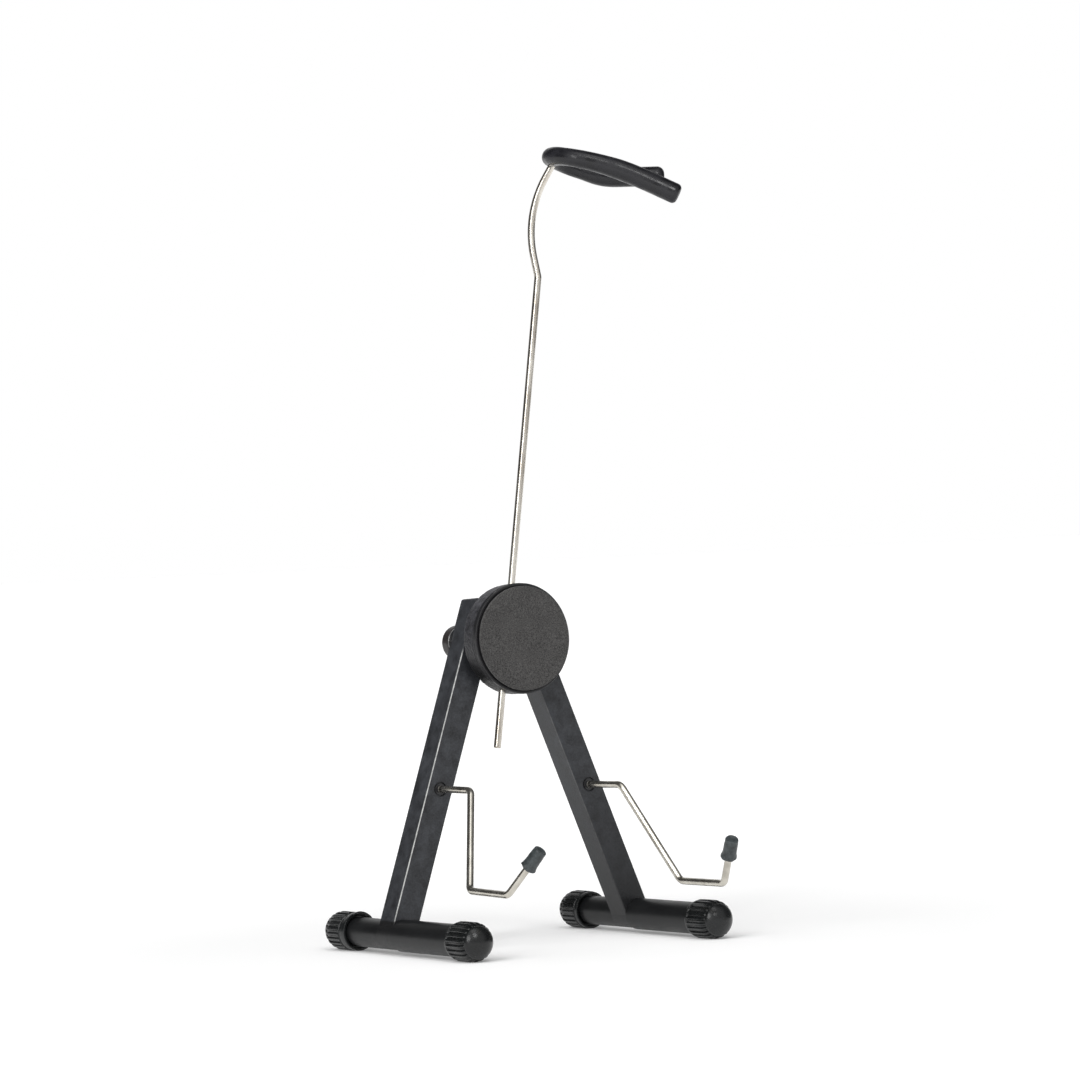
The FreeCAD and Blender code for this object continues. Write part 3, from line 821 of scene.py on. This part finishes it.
# The point on the table that the camera and the lights are placed from, in metres like all of the stage
MIDDLE = Vector((HUB_CENTRE.x, HUB_CENTRE.y + 0.935, 0)) * MM
TABLE_SIZE = 60.0
# How much the table glows near the object and far from it, and the distances between which that changes; the
# weaker glow near the object is a painted shadow
FLOOR_GLOW_WITH_PAINTED_SHADOW = (0.14, 0.44)
FLOOR_PAINTED_SHADOW_SPAN = (0.10, 0.42)
LENS = 154.8
CAMERA_PLACE = (-0.63617, -1.01640, 0.10167)
# Heading, pitch and roll in degrees
CAMERA_ANGLES = (32.547, 0.096, 2.456)
# Place from MIDDLE, height that it is aimed at, size, power
SOFTBOXES = {
    "key_softbox": ((-0.34, -1.06, 1.0), 0.08, (0.22, 0.5), 3.5),
    "top_softbox": ((-0.2, -0.40, 1.22), 0.05, (0.6, 0.4), 1.2),
    "left_softbox": ((-1.3, -0.8, 0.7), 0.08, (0.3, 0.8), 6),
}


def floor():
    """White table with a faint glow, weaker round the object as a painted shadow."""
    bpy.ops.mesh.primitive_plane_add(size=TABLE_SIZE, location=(0, 0, 0))
    plane = bpy.context.object
    plane.name = "floor"
    shader = Shader("floor")
    shader.set({"Roughness": 0.9, "Specular IOR Level": 0.0})
    shader.set({"Base Color": (0.86, 0.86, 0.86, 1), "Emission Color": (1, 1, 1, 1)})
    far = shader.nodes.new("ShaderNodeVectorMath")
    far.operation = "LENGTH"
    shader.link(shader.place, far.inputs[0])
    # Painted shadow: the glow is weaker near the object
    glow = shader.ranged(far.outputs["Value"], *FLOOR_GLOW_WITH_PAINTED_SHADOW, *FLOOR_PAINTED_SHADOW_SPAN)
    shader.link(glow, shader.surface.inputs["Emission Strength"])
    give(plane, shader.material)


def light(name, place, target, size, power):
    """Rectangular softbox at a place, turned to a target."""
    data = bpy.data.lights.new(name, "AREA")
    data.energy = power
    data.shape = "RECTANGLE"
    data.size, data.size_y = size
    lamp = bpy.data.objects.new(name, data)
    bpy.context.scene.collection.objects.link(lamp)
    lamp.location = place
    lamp.rotation_euler = (Vector(target) - Vector(place)).to_track_quat("-Z", "Y").to_euler()


def distant(name, towards, energy, spread_degrees):
    """Even light from one side with soft shadows; it isn't mirrored in the object."""
    data = bpy.data.lights.new(name, "SUN")
    data.energy = energy
    data.angle = math.radians(spread_degrees)
    lamp = bpy.data.objects.new(name, data)
    bpy.context.scene.collection.objects.link(lamp)
    lamp.rotation_euler = Vector(towards).to_track_quat("-Z", "Y").to_euler()
    lamp.visible_glossy = False


def sky():
    """White to the camera. The object's reflections and light see it bright in front and low down behind."""
    world = bpy.data.worlds.new("studio")
    bpy.context.scene.world = world
    world.use_nodes = True
    nodes, links = world.node_tree.nodes, world.node_tree.links
    output = nodes["World Output"]
    seen = nodes["Background"]
    seen.inputs["Color"].default_value = (1, 1, 1, 1)
    seen.inputs["Strength"].default_value = 1.0
    glow = nodes.new("ShaderNodeBackground")
    place = nodes.new("ShaderNodeTexCoord")

    def patch(direction, edges, levels):
        """Brightness that rises between two edges as the view turns to this direction."""
        facing = nodes.new("ShaderNodeVectorMath")
        facing.operation = "DOT_PRODUCT"
        facing.inputs[1].default_value = Vector(direction).normalized()
        links.new(place.outputs["Generated"], facing.inputs[0])
        level = nodes.new("ShaderNodeMapRange")
        level.interpolation_type = "SMOOTHSTEP"
        level.inputs["From Min"].default_value, level.inputs["From Max"].default_value = edges
        level.inputs["To Min"].default_value, level.inputs["To Max"].default_value = levels
        links.new(facing.outputs["Value"], level.inputs["Value"])
        return level.outputs["Result"]

    total = nodes.new("ShaderNodeMath")
    total.operation = "ADD"
    links.new(patch((-0.25, -0.9, 0.36), (0.25, 0.8), (0.10, 0.85)), total.inputs[0])
    links.new(patch((0.53, 0.83, 0.20), (0.80, 0.93), (0.0, 0.9)), total.inputs[1])
    links.new(total.outputs["Value"], glow.inputs["Strength"])
    path = nodes.new("ShaderNodeLightPath")
    mix = nodes.new("ShaderNodeMixShader")
    links.new(path.outputs["Is Camera Ray"], mix.inputs["Fac"])
    links.new(glow.outputs["Background"], mix.inputs[1])
    links.new(seen.outputs["Background"], mix.inputs[2])
    links.new(mix.outputs["Shader"], output.inputs["Surface"])


def camera():
    data = bpy.data.cameras.new("camera")
    data.sensor_width = 36.0
    data.lens = LENS
    data.clip_end = 100.0
    lens = bpy.data.objects.new("camera", data)
    bpy.context.scene.collection.objects.link(lens)
    heading, pitch, roll = (math.radians(v) for v in CAMERA_ANGLES)
    look = Vector((
        math.sin(heading) * math.cos(pitch),
        math.cos(heading) * math.cos(pitch),
        math.sin(pitch),
    ))
    level_right = Vector((math.cos(heading), -math.sin(heading), 0))
    level_up = level_right.cross(look)
    right = level_right * math.cos(roll) - level_up * math.sin(roll)
    up = level_right * math.sin(roll) + level_up * math.cos(roll)
    lens.matrix_world = matrix_of(right, up, -look, MIDDLE + Vector(CAMERA_PLACE))
    bpy.context.scene.camera = lens


floor()
sky()
camera()
distant("overhead", (0, 0, -1), 0.55, 80)
distant("side", (0.80, 0.10, -0.60), 1.3, 45)
for name, (place, aim, size, power) in SOFTBOXES.items():
    light(name, MIDDLE + Vector(place), MIDDLE + Vector((0, 0, aim)), size, power)
bpy.context.scene.view_settings.view_transform = "Standard"
